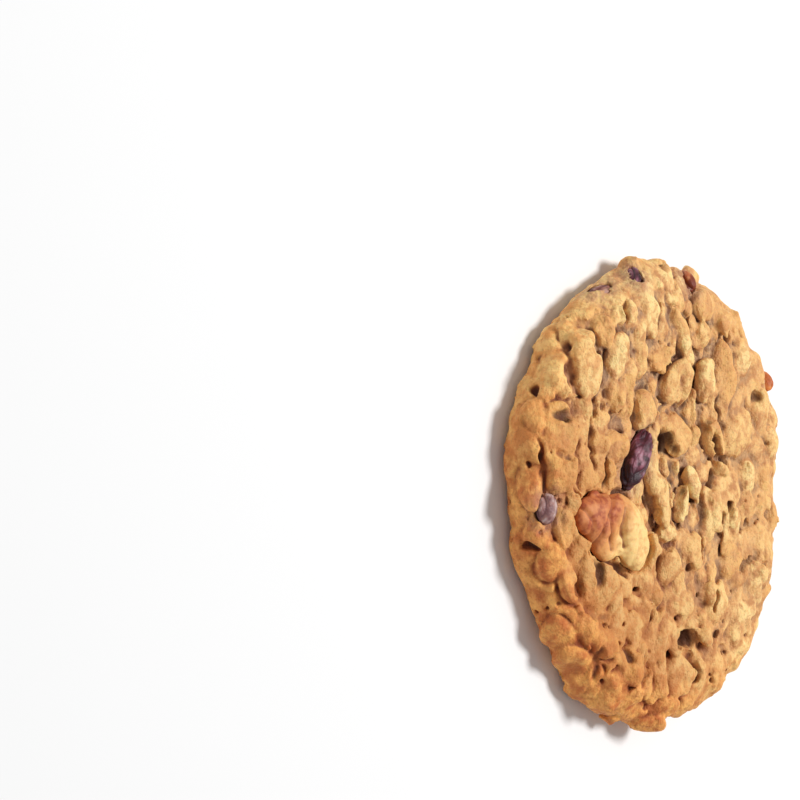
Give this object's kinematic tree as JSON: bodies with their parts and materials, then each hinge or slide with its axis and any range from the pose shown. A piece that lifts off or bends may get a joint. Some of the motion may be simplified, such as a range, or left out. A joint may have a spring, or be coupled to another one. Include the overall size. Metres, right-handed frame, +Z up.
{
  "type": "oatmeal cranberry cookie",
  "caption": "Home-style oatmeal cookie, a nearly round flat-bottomed disc with a lumpy oat-flake face, dried cranberries and a walnut piece.",
  "frame": {"origin": "middle of the flat underside, at the middle of the bounding box in X and Y", "axes": "+Z up out of the lumpy face, +Y along the longer diameter, +X across it"},
  "size_m": [0.0668, 0.0779, 0.0113],
  "materials": {
    "dough": "matt, crumbly golden-brown baked oat dough",
    "cranberry": "wrinkled semi-gloss dark purple-red dried fruit skin",
    "walnut": "satin toasted nut, tan with red-brown skin"
  },
  "bodies": {
    "root": {"cookie": "dough", "cranberry_middle": "cranberry", "cranberry_top": "cranberry", "cranberry_upper_left": "cranberry", "cranberry_upper_right": "cranberry", "cranberry_left": "cranberry", "cranberry_edge": "cranberry", "walnut": "walnut"}
  },
  "joints": []
}
